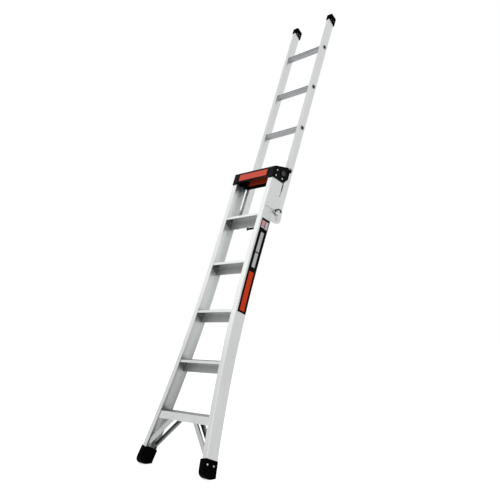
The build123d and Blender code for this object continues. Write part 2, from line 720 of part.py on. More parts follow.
def bracket():
    """Right end bracket of the head: cheek, front wall, top cover and inner wall."""
    low = TOP_STEP + HEAD_LOW
    fore = -HEAD_OUT
    back = DEPTH + BRACKET_BACK
    cover_back = DEPTH + PLATE_BACK + COVER_BACK
    cheek = [
        (fore, low),
        (fore, head_top(fore)),
        (cover_back, head_top(cover_back)),
        (back - BRACKET_NOSE, head_top(cover_back) - BRACKET_FALL),
        (back, head_top(cover_back) - BRACKET_TURN),
        (back, low + BRACKET_RISE),
        (DEPTH + PLATE_BACK, low),
    ]
    body = side(cheek, CHEEK_IN, CHEEK_OUT)
    wall = [(fore, low), (fore, head_top(fore)), (-GAP, head_top(-GAP)), (-GAP, low)]
    body += side(wall, BRACKET_INSIDE, CHEEK_OUT)
    cover = [
        (fore, head_top(fore) - COVER),
        (fore, head_top(fore)),
        (cover_back, head_top(cover_back)),
        (cover_back, head_top(cover_back) - COVER),
    ]
    body += side(cover, BRACKET_INSIDE, CHEEK_OUT)
    inner = [
        (fore, low),
        (fore, head_top(fore)),
        (PAD_BACK, head_top(PAD_BACK)),
        (PAD_BACK, TOP_STEP + PAD_BACK_LOW),
    ]
    body += side(inner, BRACKET_INSIDE, HALF - FLANGE - GAP)
    uprights = body.edges().filter_by(Axis.Z).group_by(Axis.Y)[0]
    body = fillet(uprights.sort_by(Axis.X)[-1], HEAD_EDGE)
    up = head_top(cover_back) - KNOB_DOWN
    knob = rod(back - KNOB_IN, up, KNOB_R, CHEEK_IN, CHEEK_OUT + KNOB_OUT)
    body += fillet(knob.edges().group_by(Axis.X)[-1], HEAD_ROUND)
    room = PAD_HEAD_R + BOSS_ROOM
    ring = rod(PAD_PIVOT_DEEP, PAD_Z, room + BOSS_WALL, CHEEK_OUT, CHEEK_OUT + BOSS_OUT)
    ring -= rod(PAD_PIVOT_DEEP, PAD_Z, room, CHEEK_IN, OUTER)
    body += ring
    holes = [rod(PAD_PIVOT_DEEP, PAD_Z, PAD_PIN_R + RUN, INNER, OUTER)]
    for deep, up in head_screws():
        holes.append(rod(deep, up, SCREW_HOLE, INNER, OUTER))
    return body - holes


def bracket_screws():
    """Screws of the right end bracket."""
    pins = []
    for deep, up in head_screws():
        place = Plane((CHEEK_OUT, deep, up), x_dir=(0, 1, 0), z_dir=(1, 0, 0)).location
        pins.append(place * screw(CHEEK_OUT - HALF + WEB + HEAD_SCREW_BITE))
    return pins


def pad_shell():
    """Turning pad: an upside-down trough with an end wall at each bracket."""
    fore = -HEAD_OUT
    thick = PAD_WALL / math.sin(math.radians(LEAN))
    outline = [
        (fore, TOP_STEP + PAD_FRONT_LOW),
        (fore, head_top(fore)),
        (PAD_BACK, head_top(PAD_BACK)),
        (PAD_BACK, TOP_STEP + PAD_BACK_LOW),
        (PAD_BACK - PAD_WALL, TOP_STEP + PAD_BACK_LOW),
        (PAD_BACK - PAD_WALL, head_top(PAD_BACK - PAD_WALL) - thick),
        (fore + PAD_WALL, head_top(fore + PAD_WALL) - thick),
        (fore + PAD_WALL, TOP_STEP + PAD_FRONT_LOW),
    ]
    shell = side(outline, -PAD_HALF, PAD_HALF)
    end = [
        (fore, PAD_Z - PAD_END_DOWN),
        (fore, head_top(fore)),
        (PAD_BACK, head_top(PAD_BACK)),
        (PAD_BACK, PAD_Z - PAD_END_DOWN),
    ]
    wall = side(end, PAD_HALF - PAD_END, PAD_HALF)
    shell += [wall, mirror(wall, Plane.YZ)]
    return shell - rod(PAD_PIVOT_DEEP, PAD_Z, PAD_PIN_R + TOUCH, -2 * HALF, 2 * HALF)


def pad_band():
    """Coloured strip on the front of the pad."""
    low = TOP_STEP + BAND_LOW
    near = -HEAD_OUT - TOUCH
    high = low + BAND_HIGH
    strip = [(near - BAND_THICK, low), (near, low), (near, high), (near - BAND_THICK, high)]
    return side(strip, -BAND_HALF, BAND_HALF)


def pad_liner():
    """Coloured sheet inside the pad's rear wall."""
    back = PAD_BACK - PAD_WALL - TOUCH
    low = TOP_STEP + PAD_BACK_LOW + LINER_EDGE
    high = head_top(back) - 2 * PAD_WALL
    half = PAD_HALF - PAD_END - GAP
    sheet = [(back - BAND_THICK, low), (back, low), (back, high), (back - BAND_THICK, high)]
    return side(sheet, -half, half)


def pad_pin():
    """Right pin that the pad turns on, with a broad head outside the bracket."""
    seat = CHEEK_OUT + SPARE
    face = seat + PAD_HEAD
    pin = rod(PAD_PIVOT_DEEP, PAD_Z, PAD_PIN_R, PAD_HALF - PAD_END - PAD_PIN_IN, seat)
    head = rod(PAD_PIVOT_DEEP, PAD_Z, PAD_HEAD_R, seat, face)
    head = fillet(head.edges().group_by(Axis.X)[-1], HEAD_ROUND)
    dish = rod(PAD_PIVOT_DEEP, PAD_Z, PAD_HEAD_R - DISH_RIM, face - DISH_DEEP, OUTER)
    dish -= rod(PAD_PIVOT_DEEP, PAD_Z, PAD_HEAD_R - DISH_RIM - DISH_WIDE, seat, OUTER)
    return pin + head - dish


def rear_section(spare=0.0):
    """Section of the right rear rail, a closed tube."""
    outside = RectangleRounded(REAR_FLANGE + 2 * spare, REAR_DEPTH + 2 * spare, REAR_CORNER + spare)
    room = 2 * (REAR_WALL + spare)
    tube = outside - Rectangle(REAR_FLANGE - room, REAR_DEPTH - room)
    return Pos(REAR_HALF - REAR_FLANGE / 2, REAR_MID) * tube


def rear_rail():
    """Right rail of the swinging section, rounded about its pivot."""
    section = rear_section()
    low = PIVOT_UP - RAIL_END
    rail = extrude(Plane.XY.offset(low) * section, REAR_RAIL_TOP - low)
    keep = rod(PIVOT_DEEP, PIVOT_UP, END_R, 0, 2 * HALF)
    body = [(0, PIVOT_UP), (2 * REAR_BACK, PIVOT_UP), (2 * REAR_BACK, 2 * REAR_TIP), (0, 2 * REAR_TIP)]
    rail = rail & (keep + side(body, 0, 2 * HALF))
    drills = [rod(PIVOT_DEEP, PIVOT_UP, PIVOT_R + RUN, INNER, OUTER)]
    for up in rung_heights():
        drills.append(rod(REAR_MID, up, RUNG_NECK + RUNG_FIT, INNER, OUTER))
    for deep, up in disc_rivets():
        drills.append(rod(deep, up, SMALL_RIVET_HOLE, INNER, OUTER))
    for deep, up in foot_rivets():
        drills.append(rod(deep, up, SMALL_RIVET_HOLE, INNER, OUTER))
    return rail - drills


def rung_heights():
    """Rung heights from the lowest up."""
    return [TOP_STEP + RUNG_RISE + number * PITCH for number in range(RUNGS)]


def rung(up, ringed):
    """One hollow grooved rung, with swaged rings outside the rails where there is room."""
    wide = REAR_HALF - REAR_FLANGE - TOUCH
    block = Rectangle(RUNG_DEEP, RUNG_HIGH)
    block = fillet(block.vertices(), RUNG_ROUND)
    for way in (-1, 1):
        for out in (-GROOVE_OUT, GROOVE_OUT):
            block -= Pos(way * RUNG_DEEP / 2, out) * Rectangle(2 * GROOVE, GROOVE_WIDE)
    face = Pos(REAR_MID, up) * block
    bar = extrude(Plane.YZ.offset(-wide) * face, 2 * wide)
    inside = wide - RUNG_PLUG
    hollow = Rectangle(RUNG_DEEP - 2 * GROOVE - 2 * RUNG_WALL, RUNG_HIGH - 2 * RUNG_WALL)
    hollow = Pos(REAR_MID, up) * fillet(hollow.vertices(), RUNG_ROUND - RUNG_WALL)
    bar -= extrude(Plane.YZ.offset(-inside) * hollow, 2 * inside)
    reach = REAR_HALF + (RING_THICK if ringed else 0)
    bar += rod(REAR_MID, up, RUNG_NECK, -reach, reach)
    if ringed:
        ring = rod(REAR_MID, up, RING_R, REAR_HALF + TOUCH, reach)
        ring = fillet(ring.edges().group_by(Axis.X)[-1], 0.6 * RING_THICK)
        bar += [ring, mirror(ring, Plane.YZ)]
    return bar - rod(REAR_MID, up, RUNG_BORE, -2 * HALF, 2 * HALF)


def rear_foot():
    """Right rear foot, which is also the pad at the top of the raised section."""
    fore = REAR_FRONT - FOOT_FRONT
    back = REAR_BACK + FOOT_BACK
    outline = [
        (fore, REAR_TIP - FOOT_HIGH),
        (fore, REAR_TIP),
        (back, REAR_TIP - FOOT_FALL),
        (back, REAR_TIP - FOOT_HIGH - FOOT_BACK_DROP),
    ]
    block = side(outline, REAR_HALF - REAR_FLANGE - FOOT_WALL, REAR_HALF + FOOT_WALL)
    across = block.edges().filter_by(Axis.X).sort_by(Axis.Z)
    block = fillet(across[2:], FOOT_ROUND)
    rims = [edge for face in block.faces().filter_by(Axis.X) for edge in face.edges()]
    block = fillet(rims, FOOT_CORNER)
    section = rear_section(GAP)
    low = REAR_TIP - 3 * FOOT_HIGH
    block -= extrude(Plane.XY.offset(low) * section, REAR_RAIL_TOP + GAP - low)
    return block - [rod(deep, up, SMALL_RIVET_HOLE, INNER, OUTER) for deep, up in foot_rivets()]


def foot_rivets():
    """Depth and height of the two rivets of a rear foot."""
    up = REAR_RAIL_TOP - FOOT_RIVET_DOWN
    return [(REAR_MID - FOOT_RIVET_APART / 2, up), (REAR_MID + FOOT_RIVET_APART / 2, up)]


def foot_rivet_set():
    """Rivets of the right rear foot, headed on the inside."""
    pins = []
    inside = REAR_HALF - REAR_FLANGE - FOOT_WALL
    for deep, up in foot_rivets():
        place = Plane((inside, deep, up), x_dir=(0, 1, 0), z_dir=(-1, 0, 0)).location
        grip = REAR_FLANGE + 2 * FOOT_WALL + TOUCH
        pins.append(place * rivet(SMALL_RIVET_R, SMALL_RIVET_HEAD_R, grip))
    return pins


def lock_spots():
    """Depth and height of the lock holes in the disc: raised, standing and closed."""
    spots = []
    for fold in (0.0, STAND_FOLD, 180.0):
        turn = math.radians(fold)
        deep = LOCK_BACK * math.cos(turn) - LOCK_UP * math.sin(turn)
        up = LOCK_BACK * math.sin(turn) + LOCK_UP * math.cos(turn)
        spots.append((PIVOT_DEEP + deep, PIVOT_UP + up))
    return spots


def disc_rivets():
    """Depth and height of the rivets that hold the lock disc to the rear rail."""
    spots = []
    for turn in DISC_RIVET_TURNS:
        deep = DISC_RIVET_OUT * math.cos(math.radians(turn))
        up = DISC_RIVET_OUT * math.sin(math.radians(turn))
        spots.append((PIVOT_DEEP + deep, PIVOT_UP + up))
    return spots


def lock_disc():
    """Right disc on the rear rail, with one hole for each locked position."""
    disc = rod(PIVOT_DEEP, PIVOT_UP, DISC_R, DISC_IN, DISC_OUT)
    holes = [rod(PIVOT_DEEP, PIVOT_UP, PIVOT_R + RUN, INNER, OUTER)]
    for deep, up in lock_spots():
        holes.append(rod(deep, up, LOCK_R + LOCK_ROOM, INNER, OUTER))
    for deep, up in disc_rivets():
        holes.append(rod(deep, up, SMALL_RIVET_HOLE, INNER, OUTER))
    return disc - holes


def disc_rivet_set():
    """Rivets of the right lock disc."""
    pins = []
    for deep, up in disc_rivets():
        place = Plane((DISC_OUT, deep, up), x_dir=(0, 1, 0), z_dir=(1, 0, 0)).location
        grip = LOCK_DISC + REAR_WALL + 2 * TOUCH
        pins.append(place * rivet(SMALL_RIVET_R, SMALL_RIVET_HEAD_R, grip))
    return pins


def lock_guide():
    """Bush that guides the right lock pin behind the hinge plate."""
    bush = rod(LOCK_DEEP, LOCK_Z, GUIDE_R, DISC_OUT + GUIDE_GAP, PLATE_IN - TOUCH)
    return bush - rod(LOCK_DEEP, LOCK_Z, LOCK_R + RUN, INNER, OUTER)


def lock_bar_in():
    """Inner face of the lock's cross bar when the lock is drawn."""
    return PLATE_OUT + LOCK_STOP + LOCK_STROKE


def lock_pin():
    """Right lock pin with its cross bar, drawn out of the disc."""
    tip = DISC_OUT - LOCK_ENTRY + LOCK_STROKE
    pin = rod(LOCK_DEEP, LOCK_Z, LOCK_R, tip, lock_bar_in() + BAR_THICK)
    bar = [pull_spot(-PULL_HALF, -PULL_LEG), pull_spot(-PULL_HALF, 0)]
    bar += [pull_spot(PULL_HALF, 0), pull_spot(PULL_HALF, -PULL_LEG)]
    bar += [(LOCK_DEEP + BAR_FOOT, LOCK_Z - BAR_LOW), (LOCK_DEEP - BAR_FOOT, LOCK_Z - BAR_LOW)]
    return pin + side(bar, lock_bar_in(), lock_bar_in() + BAR_THICK)


def pull_spot(along, out):
    """Depth and height of a point of the arched grip, which is level on the leaning ladder."""
    turn = math.radians(90 - LEAN)
    deep = LOCK_DEEP - PULL_FORE + along * math.cos(turn) - out * math.sin(turn)
    return (deep, LOCK_Z + PULL_RISE + along * math.sin(turn) + out * math.cos(turn))


def lock_pull():
    """Right arched grip on the lock's cross bar."""
    near = lock_bar_in() + BAR_THICK + TOUCH
    inside = PULL_HALF - PULL_BAND
    ring = Ellipse(PULL_HALF, PULL_HIGH) - Ellipse(inside, PULL_HIGH - PULL_BAND)
    ring -= Pos(0, -PULL_HALF) * Rectangle(3 * PULL_HALF, 2 * PULL_HALF)
    legs = Rectangle(2 * PULL_HALF, PULL_LEG) - Rectangle(2 * inside, 2 * PULL_LEG)
    arch = ring + Pos(0, -PULL_LEG / 2) * legs
    arch = Pos(*pull_spot(0, 0)) * (Rot(0, 0, 90 - LEAN) * arch)
    solid = extrude(Plane.YZ.offset(near) * arch, PULL_THICK)
    return fillet(solid.edges().group_by(Axis.X)[-1], PULL_ROUND)


def catch_rivets():
    """Places of the rivets that hold the catch bracket to the top step."""
    places = []
    for across in (CATCH_FROM + CATCH_RIVET_IN, CATCH_TO - CATCH_RIVET_IN):
        spot = (across, STEP_BACK + TOUCH + EAR, TOP_STEP - SKIRT + CATCH_RIVET_UP)
        places.append(Plane(spot, x_dir=(1, 0, 0), z_dir=(0, 1, 0)).location)
    return places


def catch_bracket():
    """Folded bracket on the top step's rear skirt, with two ears for the catch."""
    fore = STEP_BACK + TOUCH
    back = fore + EAR
    base = TOP_STEP - SKIRT + CATCH_PLATE_LOW
    high = TOP_STEP - SKIRT + CATCH_PLATE_UP
    left = CATCH_FROM - GAP - EAR
    right = CATCH_TO + GAP + EAR
    plate = side([(fore, base), (back, base), (back, high), (fore, high)], left, right)
    low = CATCH_Z - CATCH_HUB_R - EAR_LOW
    reach = CATCH_Y + CATCH_HUB_R
    top = CATCH_Z + CATCH_HUB_R
    outline = [(fore, base), (CATCH_Y, low), (reach, low), (reach, top), (fore, top + EAR_RISE)]
    body = plate + [side(outline, left, left + EAR), side(outline, right - EAR, right)]
    body -= rod(CATCH_Y, CATCH_Z, CATCH_PIN_R + TOUCH, 2 * left, 2 * right)
    return body - [place * Cylinder(RIVET_HOLE, 3 * CATCH_GRIP) for place in catch_rivets()]


def catch_pin():
    """Pin that the catch swings on, headed at both ends."""
    left = CATCH_FROM - GAP - EAR - TOUCH
    right = CATCH_TO + GAP + EAR + TOUCH
    head = CATCH_PIN_R + CATCH_HEAD_WIDE
    pin = rod(CATCH_Y, CATCH_Z, CATCH_PIN_R, left - CATCH_HEAD, right + CATCH_HEAD)
    pin += rod(CATCH_Y, CATCH_Z, head, left - CATCH_HEAD, left)
    return pin + rod(CATCH_Y, CATCH_Z, head, right, right + CATCH_HEAD)


def catch():
    """Long hub with a finger that swings up behind the lowest rung of the closed ladder."""
    outline = [
        (0, CATCH_HUB_R),
        (CATCH_WAIST, CATCH_HUB_R - TOUCH),
        (CATCH_REACH - CATCH_BELLY, 0),
        (CATCH_REACH, CATCH_TIP),
        (CATCH_REACH + CATCH_TIP_THICK, CATCH_TIP),
        (CATCH_REACH + CATCH_TIP_THICK, -CATCH_HUB_R),
        (CATCH_REACH - CATCH_BELLY, -CATCH_HUB_R - CATCH_BELLY),
        (0, -CATCH_HUB_R),
    ]
    placed = [(CATCH_Y + deep, CATCH_Z + up) for deep, up in outline]
    body = side(placed, CATCH_TO - CATCH_FINGER, CATCH_TO)
    body += rod(CATCH_Y, CATCH_Z, CATCH_HUB_R, CATCH_FROM, CATCH_TO)
    return body - rod(CATCH_Y, CATCH_Z, CATCH_PIN_R + RUN, 2 * CATCH_FROM, 2 * CATCH_TO)


def strip():
    """Plain strip on the outer face of the right rail."""
    high = TOP_STEP - STRIP_TOP
    edge = (DEPTH - STRIP_WIDE) / 2 + STRIP_BACK
    return front(band(-GAP - STRIP_THICK, -GAP, high - STRIP_LONG, high), edge, edge + STRIP_WIDE)


# Front section
for hand, shape in both(front_rail()).items():
    save(f"front_rail_{hand}", shape)
for number, height in enumerate(step_heights(), 1):
    low, back = (BOTTOM_SKIRT, BOTTOM_BACK) if number == 1 else (LIP, SKIRT)
    save(f"step_{number}", step(height, low, back))
pins = []
for height in step_heights():
    for place in step_rivets(height):
        inside = place * Pos(0, 0, -STEP_GRIP) * Rot(180, 0, 0)
        pins.append(inside * rivet(RIVET_R, RIVET_HEAD_R, STEP_GRIP - TOUCH, False))
save("step_rivets", pair(pins))
for hand, shape in both(boot()).items():
    save(f"boot_{hand}", shape)
boot_pin = rivet(RIVET_R, RIVET_HEAD_R, BOOT_GRIP, False)
save("boot_rivets", pair([place * boot_pin for place in boot_rivets()]))
for part, way, raised in (("front", 1, 0), ("rear", -1, BRACE_BACK_RAISE)):
    for hand, shape in both(brace(way, raised)).items():
        save(f"knee_brace_{part}_{hand}", shape)
save("brace_rivets", pair(brace_rivets()))
save("side_strip", strip())

# Hinges between the sections
for hand, shape in both(hinge_plate()).items():
    save(f"hinge_plate_{hand}", shape)
save("plate_rivets", pair(plate_rivet_set()))
for hand, shape in both(pivot_bolt()).items():
    save(f"pivot_bolt_{hand}", shape)
save("pivot_washers", pair([pivot_washer()]))
save("pivot_spacers", pair([pivot_spacer()]))
save("pivot_nuts", pair([pivot_nut()]))
for hand, shape in both(rest_block()).items():
    save(f"rest_block_{hand}", shape)
block_screw = screw(LEG + BLOCK_SCREW_BITE)
save("block_screws", pair([place * block_screw for place in block_screws()]))
for hand, shape in both(lock_guide()).items():
    save(f"lock_guide_{hand}", shape)
for hand, shape in both(lock_pin()).items():
    save(f"lock_pin_{hand}", shape)
for hand, shape in both(lock_pull()).items():
    save(f"lock_pull_{hand}", shape)

# Head
for hand, shape in both(bracket()).items():
    save(f"head_bracket_{hand}", shape)
save("bracket_screws", pair(bracket_screws()))
save("pad_shell", pad_shell())
save("pad_band", pad_band())
save("pad_liner", pad_liner())
for hand, shape in both(pad_pin()).items():
    save(f"pad_pin_{hand}", shape)

# Storage catch
save("catch_bracket", catch_bracket())
catch_rivet = rivet(RIVET_R, RIVET_HEAD_R, CATCH_GRIP)
save("catch_rivets", Compound([place * catch_rivet for place in catch_rivets()]))
save("catch_pin", catch_pin())
save("storage_catch", catch())

# Rear section
for hand, shape in both(rear_rail()).items():
    save(f"rear_rail_{hand}", shape)
for number, up in enumerate(rung_heights(), 1):
    save(f"rung_{number}", rung(up, number > 1))
for hand, shape in both(lock_disc()).items():
    save(f"lock_disc_{hand}", shape)
save("disc_rivets", pair(disc_rivet_set()))
for hand, shape in both(rear_foot()).items():
    save(f"rear_foot_{hand}", shape)
save("foot_rivets", pair(foot_rivet_set()))
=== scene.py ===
import math
import bpy
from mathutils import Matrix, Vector


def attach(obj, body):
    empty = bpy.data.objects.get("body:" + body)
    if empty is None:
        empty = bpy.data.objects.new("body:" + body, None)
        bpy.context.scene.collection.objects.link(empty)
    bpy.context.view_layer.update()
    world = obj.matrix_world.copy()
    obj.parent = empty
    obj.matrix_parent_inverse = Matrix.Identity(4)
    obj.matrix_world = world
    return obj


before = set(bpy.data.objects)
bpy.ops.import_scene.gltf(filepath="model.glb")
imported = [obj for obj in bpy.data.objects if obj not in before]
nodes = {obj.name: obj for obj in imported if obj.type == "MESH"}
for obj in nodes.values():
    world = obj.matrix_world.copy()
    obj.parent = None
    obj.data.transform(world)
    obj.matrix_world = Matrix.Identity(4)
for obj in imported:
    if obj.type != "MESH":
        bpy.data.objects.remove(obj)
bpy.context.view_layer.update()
scene = bpy.context.scene

# Sizes repeated from the part, in metres: the lean, the rails' flare and the places along them
LEAN = math.radians(70.0)
PITCH = 0.3048
DEPTH = 0.078
HALF = 0.1802
FLARE_START = 1.285
FLARE_R = 6.1
TOP_STEP = 5 * PITCH
MIDDLE = 0.5554057  # how far back the part's middle is from the foot of the rails' centre line

# Ways that a face can look
FRONT = (0.0, -math.sin(LEAN), math.cos(LEAN))
UP = (0.0, 0.0, 1.0)
DOWN = (0.0, 0.0, -1.0)
LEFT = (-1.0, 0.0, 0.0)


def place(across, deep, up):
    """Point of the leaning ladder from its place across, in depth and along the rails."""
    d = deep - DEPTH / 2
    y = d * math.sin(LEAN) + up * math.cos(LEAN) - MIDDLE
    z = up * math.sin(LEAN) - d * math.cos(LEAN)
    return Vector((across, y, z))


def flare(up):
    """How far out the right rail's outer face is at a height along the rail."""
    drop = max(FLARE_START - up, 0.0)
    return HALF + FLARE_R - math.sqrt(FLARE_R ** 2 - drop ** 2)


# Values that a noise mostly keeps between
NOISE_LOW = 0.3
NOISE_HIGH = 0.7


class Nodes:
    """Short hand for building one node tree."""

    def __init__(self, tree):
        self.tree = tree

    def add(self, kind, **values):
        """New node, with its properties or else its inputs set by name."""
        node = self.tree.nodes.new(kind)
        for key, value in values.items():
            if hasattr(node, key):
                setattr(node, key, value)
            else:
                node.inputs[key.replace("_", " ")].default_value = value
        return node

    def link(self, source, target):
        self.tree.links.new(source, target)

    def math(self, operation, *inputs):
        """Sum or other operation on sockets and numbers."""
        node = self.add("ShaderNodeMath", operation=operation)
        for socket, value in zip(node.inputs, inputs):
            if isinstance(value, (int, float)):
                socket.default_value = value
            else:
                self.link(value, socket)
        return node.outputs[0]

    def spread(self, source, low, high, start=NOISE_LOW, end=NOISE_HIGH):
        """Value that goes from low to high while the source goes from start to end."""
        node = self.add("ShaderNodeMapRange", From_Min=start, From_Max=end, To_Min=low, To_Max=high)
        self.link(source, node.inputs["Value"])
        return node.outputs[0]

    def split(self, source):
        """The three parts of a vector."""
        node = self.add("ShaderNodeSeparateXYZ")
        self.link(source, node.inputs[0])
        return node.outputs


class Look(Nodes):
    """One material in the making."""

    FACE_FROM = 0.4  # a face counts as looking one way from here, and fully from the next value
    FACE_TO = 0.8
    MIX_A, MIX_B, MIX_OUT = 6, 7, 2  # colour sockets of a mix node

    def __init__(self, name):
        self.material = bpy.data.materials.new(name)
        self.material.use_nodes = True
        super().__init__(self.material.node_tree)
        self.shader = self.tree.nodes["Principled BSDF"]

    def tone(self, source, dark, light):
        """Base colour between two tones, kept so that painted shade and light can be laid over it."""
        ramp = self.add("ShaderNodeValToRGB")
        first, last = ramp.color_ramp.elements
        first.position, last.position = NOISE_LOW, NOISE_HIGH
        first.color, last.color = (*dark, 1), (*light, 1)
        self.link(source, ramp.inputs[0])
        self.colour = ramp.outputs[0]
        self.link(self.colour, self.shader.inputs["Base Color"])

    def noise(self, vector, scale, detail, rough=0.5):
        node = self.add("ShaderNodeTexNoise", Scale=scale, Detail=detail, Roughness=rough)
        self.link(vector, node.inputs["Vector"])
        return node.outputs["Fac"]

    def coordinates(self):
        """Place out from the bent rails, in depth and along the rails, counted from the frame's origin."""
        x, y, z = self.split(self.add("ShaderNodeTexCoord").outputs["Object"])
        cos, sin = math.cos(LEAN), math.sin(LEAN)
        along = self.math("ADD", self.math("MULTIPLY", y, cos), self.math("MULTIPLY", z, sin))
        deep = self.math("SUBTRACT", self.math("MULTIPLY", y, sin), self.math("MULTIPLY", z, cos))
        drop = self.math("MAXIMUM", self.math("SUBTRACT", FLARE_START - MIDDLE * cos, along), 0.0)
        out = self.math("DIVIDE", self.math("MULTIPLY", drop, drop), 2 * FLARE_R)
        return self.math("SUBTRACT", self.math("ABSOLUTE", x), out), deep, along

    def stretched(self, scale):
        """The same coordinates, each times its own scale, as one vector."""
        joined = self.add("ShaderNodeCombineXYZ")
        for source, factor, socket in zip(self.coordinates(), scale, joined.inputs):
            self.link(self.math("MULTIPLY", source, factor), socket)
        return joined.outputs[0]

    def ladder(self):
        """Depth behind the front faces of the front rails, and height along them."""
        _, deep, along = self.coordinates()
        deep = self.math("ADD", deep, DEPTH / 2 + MIDDLE * math.sin(LEAN))
        return deep, self.math("ADD", along, MIDDLE * math.cos(LEAN))

    def facing(self, way):
        """How far a face looks a given way."""
        node = self.add("ShaderNodeVectorMath", operation="DOT_PRODUCT")
        self.link(self.add("ShaderNodeTexCoord").outputs["Normal"], node.inputs[0])
        node.inputs[1].default_value = way
        return node.outputs["Value"]

    def towards(self, way, most=1.0):
        """Share, up to the most, of the faces that look a given way."""
        return self.spread(self.facing(way), 0.0, most, self.FACE_FROM, self.FACE_TO)

    def inward(self, most=1.0):
        """Share, up to the most, of the faces that look towards the ladder's middle."""
        x = self.split(self.add("ShaderNodeTexCoord").outputs["Object"])[0]
        look = self.math("MULTIPLY", self.facing(LEFT), self.math("SIGN", x))
        return self.spread(look, 0.0, most, self.FACE_FROM, self.FACE_TO)

    def fade(self, source, share, level):
        """Colour mixed towards a grey level by a share."""
        node = self.add("ShaderNodeMix", data_type="RGBA")
        self.link(share, node.inputs[0])
        self.link(source, node.inputs[self.MIX_A])
        node.inputs[self.MIX_B].default_value = (level, level, level, 1)
        return node.outputs[self.MIX_OUT]

    def bump(self, source, strength, distance):
        node = self.add("ShaderNodeBump", Strength=strength, Distance=distance)
        self.link(source, node.inputs["Height"])
        self.link(node.outputs[0], self.shader.inputs["Normal"])


def even(value):
    """Neutral colour, or a scale that is the same each way."""
    return (value, value, value)


# Metals
FINE_SHARE = 0.55  # of the fine grain in a metal's tone, beside broad patches
BROAD_SHARE = 0.45
BROAD_GRAIN = (9.0, 9.0, 2.5)
SHEEN_SPREAD = 0.06  # roughness either way of a metal's own
RAW_ROUGH = 0.40  # roughness that a raw or chalky face gains
METAL_RELIEF = 0.0004  # metres
ALONG = (900.0, 900.0, 6.0)  # fine lines along the rails
ACROSS = (6.0, 900.0, 900.0)  # fine lines across


def metal(name, dark, light, rough, grain, bump, shading_and_chalk=None):
    """Metal with drawing lines or an even grain, and painted shade and light or chalk from a function that
    may return where it is rougher.
    """
    m = Look(name)
    m.shader.inputs["Metallic"].default_value = 1.0
    fine = m.noise(m.stretched(grain), scale=1.0, detail=3.0)
    broad = m.noise(m.stretched(BROAD_GRAIN), scale=1.0, detail=2.0)
    mixed = m.math("ADD", m.math("MULTIPLY", fine, FINE_SHARE), m.math("MULTIPLY", broad, BROAD_SHARE))
    m.tone(mixed, dark, light)
    sheen = m.spread(fine, rough - SHEEN_SPREAD, rough + SHEEN_SPREAD)
    raw = shading_and_chalk(m) if shading_and_chalk else None
    if raw is not None:
        sheen = m.math("ADD", sheen, m.math("MULTIPLY", raw, RAW_ROUGH))
    m.link(sheen, m.shader.inputs["Roughness"])
    m.bump(fine, bump, METAL_RELIEF)
    return m.material


TREAD_TOP_DARKENING = 0.62  # share of black on the step's top
END_SHADE = 0.55  # share of black as painted shade on the ears at a step's ends, under the step
SKIRT_SHADE = 0.22  # share of black as painted shade along the lower edge of the rear skirt's inner side
PAINTED_LIGHT_SHARE = 0.3  # share of painted light, near white, above that edge and on the step's underside
PAINTED_LIGHT_LEVEL = 0.9
SKIRT_DEEP = (0.045, 0.055)  # depth from which a front face belongs to the rear skirt
SHADE_LINE = (-0.012, 0.012)  # end of the painted shade along the skirt's lower edge, from the step's height
BELOW_STEP = 0.1  # longer than a step reaches down


def tread_painted_shading(m):
    """Darker top of a step, painted shade on the ears at its ends and along the lower edge of the rear
    skirt's inner side, and painted light above that edge and on the step's underside.
    """
    deep, along = m.ladder()
    top = m.towards(UP, TREAD_TOP_DARKENING)
    ends = m.inward(END_SHADE)
    below = m.towards(DOWN)
    inner = m.math("MULTIPLY", m.towards(FRONT), m.spread(deep, 0.0, 1.0, *SKIRT_DEEP))
    height = m.math("FLOORED_MODULO", m.math("ADD", along, BELOW_STEP), PITCH)
    lit_skirt = m.math("MULTIPLY", inner, m.spread(height, 0.0, 1.0, *[BELOW_STEP + end for end in SHADE_LINE]))
    edge = m.math("MULTIPLY", m.math("SUBTRACT", inner, lit_skirt), SKIRT_SHADE)
    # Painted shade on the ears and along the skirt's lower edge, with the step's top darkened
    shaded_colour = m.fade(m.colour, m.math("MAXIMUM", m.math("MAXIMUM", top, ends), edge), 0.0)
    # Painted light on the skirt's inner side above its lower edge and on the step's underside
    painted_light = m.math("MULTIPLY", m.math("MAXIMUM", below, lit_skirt), PAINTED_LIGHT_SHARE)
    m.link(m.fade(shaded_colour, painted_light, PAINTED_LIGHT_LEVEL), m.shader.inputs["Base Color"])
    return m.math("MAXIMUM", below, inner)


RAIL_SHADE_AND_LIGHT = (0.441, 1.288)  # brightness of a rail's inner side at the feet and at the top: painted shade below, painted light above
RAIL_HEIGHTS = (0.40, 1.38)
RAIL_DEEP = (0.030, 0.066)  # depth over which that fades out


def rail_painted_shading(m):
    """Inner side of a front rail, with painted light towards the top and painted shade towards the feet.
    """
    deep, along = m.ladder()
    share = m.math("MULTIPLY", m.inward(), m.spread(deep, 1.0, 0.0, *RAIL_DEEP))
    change = m.math("SUBTRACT", m.spread(along, *RAIL_SHADE_AND_LIGHT, *RAIL_HEIGHTS), 1.0)
    scaled = m.add("ShaderNodeVectorMath", operation="SCALE")
    m.link(m.colour, scaled.inputs[0])
    m.link(m.math("ADD", 1.0, m.math("MULTIPLY", share, change)), scaled.inputs["Scale"])
    m.link(scaled.outputs[0], m.shader.inputs["Base Color"])


def chalk_front(m):
    """Front faces of the raised section, a little chalky."""
    return m.towards(FRONT)


# Plastics, rubber and print
PATCHES = 14.0  # scale of the broad change of tone
MOULD_SPREAD = 0.07  # roughness either way
MOULD_RELIEF = 0.0006  # metres


def moulded(name, dark, light, rough, scale, bump, specular):
    """Moulded plastic, rubber or printed film with a fine grain."""
    m = Look(name)
    m.shader.inputs["Specular IOR Level"].default_value = specular
    spot = m.stretched(even(1.0))
    grain = m.noise(spot, scale, detail=4.0, rough=0.6)
    m.tone(m.noise(spot, PATCHES, detail=2.0), dark, light)
    m.link(m.spread(grain, rough - MOULD_SPREAD, rough + MOULD_SPREAD), m.shader.inputs["Roughness"])
    m.bump(grain, bump, MOULD_RELIEF)
    return m.material
